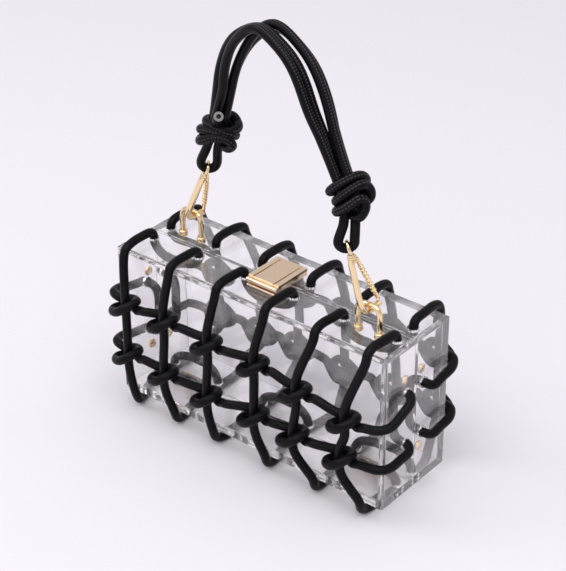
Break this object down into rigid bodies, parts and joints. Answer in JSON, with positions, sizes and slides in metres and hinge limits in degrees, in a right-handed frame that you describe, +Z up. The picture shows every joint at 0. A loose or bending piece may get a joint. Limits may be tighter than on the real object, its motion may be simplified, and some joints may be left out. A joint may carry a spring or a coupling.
{
  "type": "clear box handbag",
  "caption": "Rigid clear box handbag that opens like a clamshell, wrapped in a knotted black cord net, with a knotted cord top handle on gold snap hooks and a gold flap clasp.",
  "frame": {"origin": "middle of the overall box, on the floor under the cord loops", "axes": "+X to the right along the box, +Y to the back half, +Z up through the handle"},
  "size_m": [0.214, 0.0968, 0.2686],
  "materials": {
    "acrylic": "clear polished acrylic sheet",
    "net_cord": "black round leather cord with a sewn seam",
    "handle_cord": "black round leather cord with a sewn seam",
    "gold": "polished pale gold plating",
    "clasp_gold": "satin champagne gold plating"
  },
  "bodies": {
    "front": {"front_tray": "acrylic", "front_upright_1": "net_cord", "front_upright_2": "net_cord", "front_upright_3": "net_cord", "front_upright_4": "net_cord", "front_upright_5": "net_cord", "front_upright_6": "net_cord", "front_upper_row": "net_cord", "front_lower_row": "net_cord", "front_upper_stud_left": "gold", "front_upper_stud_right": "gold", "front_lower_stud_left": "gold", "front_lower_stud_right": "gold", "hinge_front_left": "gold", "hinge_front_right": "gold", "clasp_base": "clasp_gold", "arch_right": "gold", "hook_left": "gold", "hook_right": "gold", "handle_loop_left": "handle_cord", "handle_loop_right": "handle_cord", "handle_knot_left": "handle_cord", "handle_knot_right": "handle_cord", "handle_strand_1": "handle_cord", "handle_strand_2": "handle_cord", "handle_strand_3": "handle_cord", "handle_strand_4": "handle_cord"},
    "back": {"back_tray": "acrylic", "back_upright_1": "net_cord", "back_upright_2": "net_cord", "back_upright_3": "net_cord", "back_upright_4": "net_cord", "back_upright_5": "net_cord", "back_upright_6": "net_cord", "back_upper_row": "net_cord", "back_lower_row": "net_cord", "back_upper_stud_left": "gold", "back_upper_stud_right": "gold", "back_lower_stud_left": "gold", "back_lower_stud_right": "gold", "hinge_back_left": "gold", "hinge_back_right": "gold", "clasp_stud": "clasp_gold", "arch_left": "gold"},
    "clasp": {"clasp_lever": "clasp_gold"},
    "gate_left": {"hook_gate_left": "gold"},
    "gate_right": {"hook_gate_right": "gold"}
  },
  "joints": [
    {"name": "box_hinge", "type": "hinge", "parent": "front", "child": "back", "pos_m": [0, 0, 0.0032], "axis": [-1, 0, 0], "range_deg": [0, 90]},
    {"name": "clasp_flap", "type": "hinge", "parent": "front", "child": "clasp", "pos_m": [0.0005, -0.0145, 0.111], "axis": [1, 0, 0], "range_deg": [0, 110]},
    {"name": "left_gate", "type": "hinge", "parent": "front", "child": "gate_left", "pos_m": [-0.05929, 0.00744, 0.15154], "axis": [-0.9277, 0.1184, 0.3541], "range_deg": [0, 10], "stiffness_Nm_per_rad": 0.004, "springref_deg": -5.73},
    {"name": "right_gate", "type": "hinge", "parent": "front", "child": "gate_right", "pos_m": [0.06778, -0.01491, 0.15258], "axis": [-0.9627, 0.1229, -0.2411], "range_deg": [0, 10], "stiffness_Nm_per_rad": 0.004, "springref_deg": -5.73}
  ]
}
